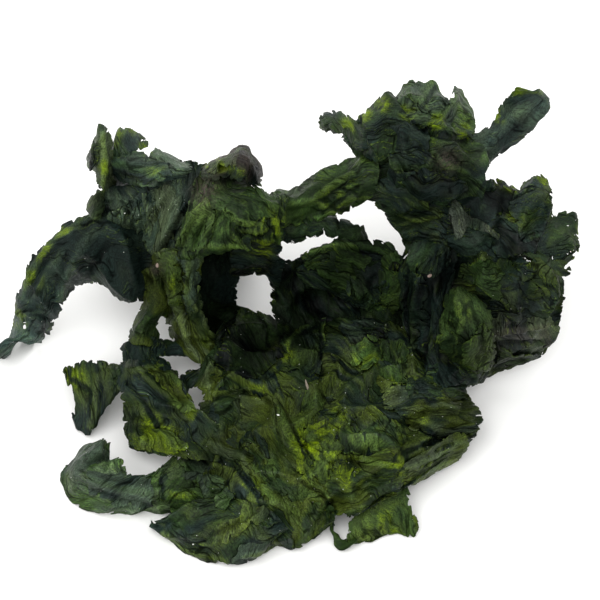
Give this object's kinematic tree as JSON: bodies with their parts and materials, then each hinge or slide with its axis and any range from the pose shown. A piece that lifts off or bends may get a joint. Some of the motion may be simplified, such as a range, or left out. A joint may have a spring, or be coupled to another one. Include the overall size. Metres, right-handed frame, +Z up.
{
  "type": "dried sea lettuce clump",
  "caption": "Clump of dried sea lettuce: thin crumpled dark green algae blades stuck together in an open tangle with two tall lobes, curled arms and a broad flat front.",
  "frame": {"origin": "on the table under the middle of the clump, at the bottom centre of its box", "axes": "+X along its longest extent, from the arched arm to the ruffled end; +Z up, along its shortest extent; the broad flat front faces -Y"},
  "size_m": [0.146, 0.1064, 0.063],
  "materials": {
    "dried_blade": "satin"
  },
  "bodies": {
    "root": {"sea_lettuce": "dried_blade"}
  },
  "joints": []
}
